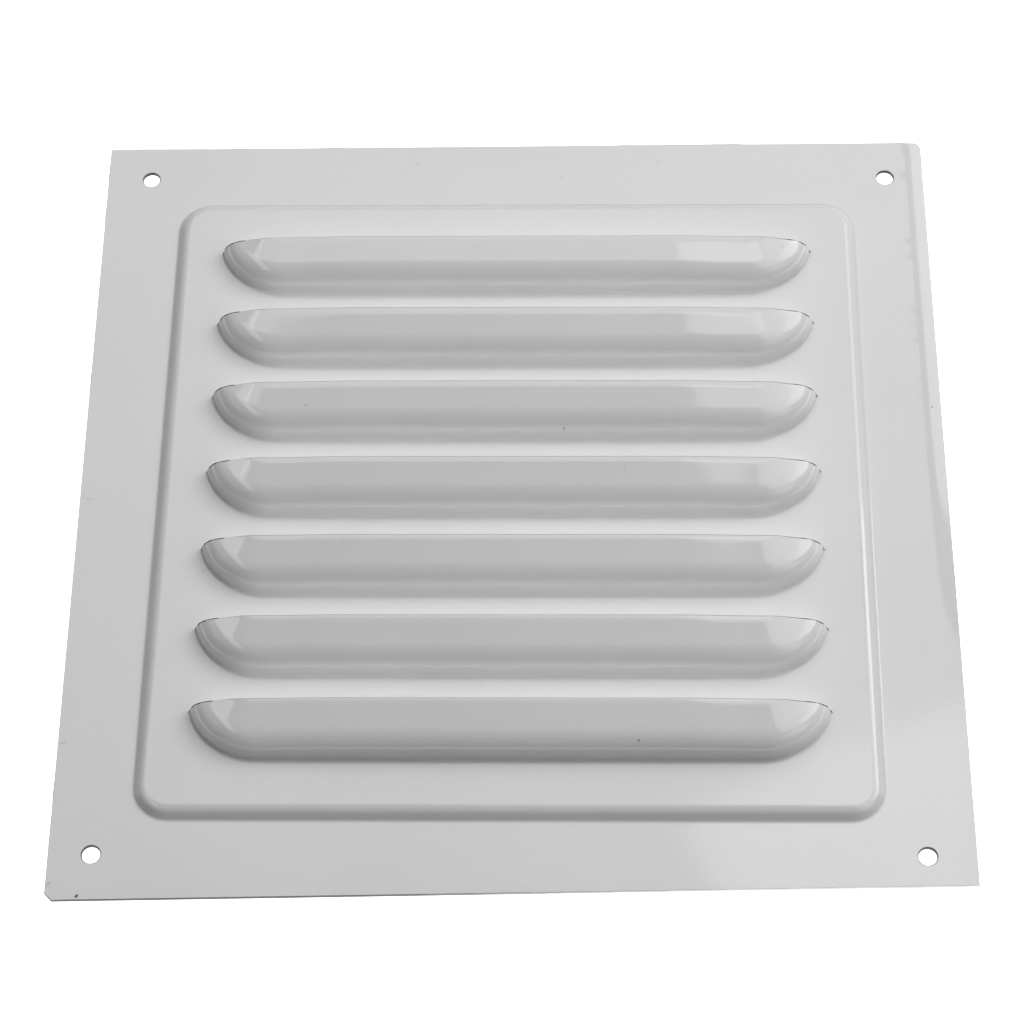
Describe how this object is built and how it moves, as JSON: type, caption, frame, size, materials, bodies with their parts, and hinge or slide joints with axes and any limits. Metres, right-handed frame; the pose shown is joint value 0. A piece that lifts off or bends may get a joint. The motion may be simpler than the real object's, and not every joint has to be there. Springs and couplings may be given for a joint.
{
  "type": "louvred sheet metal panel",
  "caption": "Square white painted steel panel with a flat screwed flange and a raised field of formed, forward-lipped ventilation louvres.",
  "frame": {"origin": "middle of the plane that the flange's back lies on", "axes": "+Z out of the face, the way the louvres bulge; +X to the right; +Y up the panel, the way the louvre mouths open"},
  "size_m": [0.2014, 0.2014, 0.0105],
  "materials": {
    "white_powder_coat": "white semi-gloss powder coat"
  },
  "bodies": {
    "root": {"louvred_panel": "white_powder_coat"}
  },
  "joints": []
}
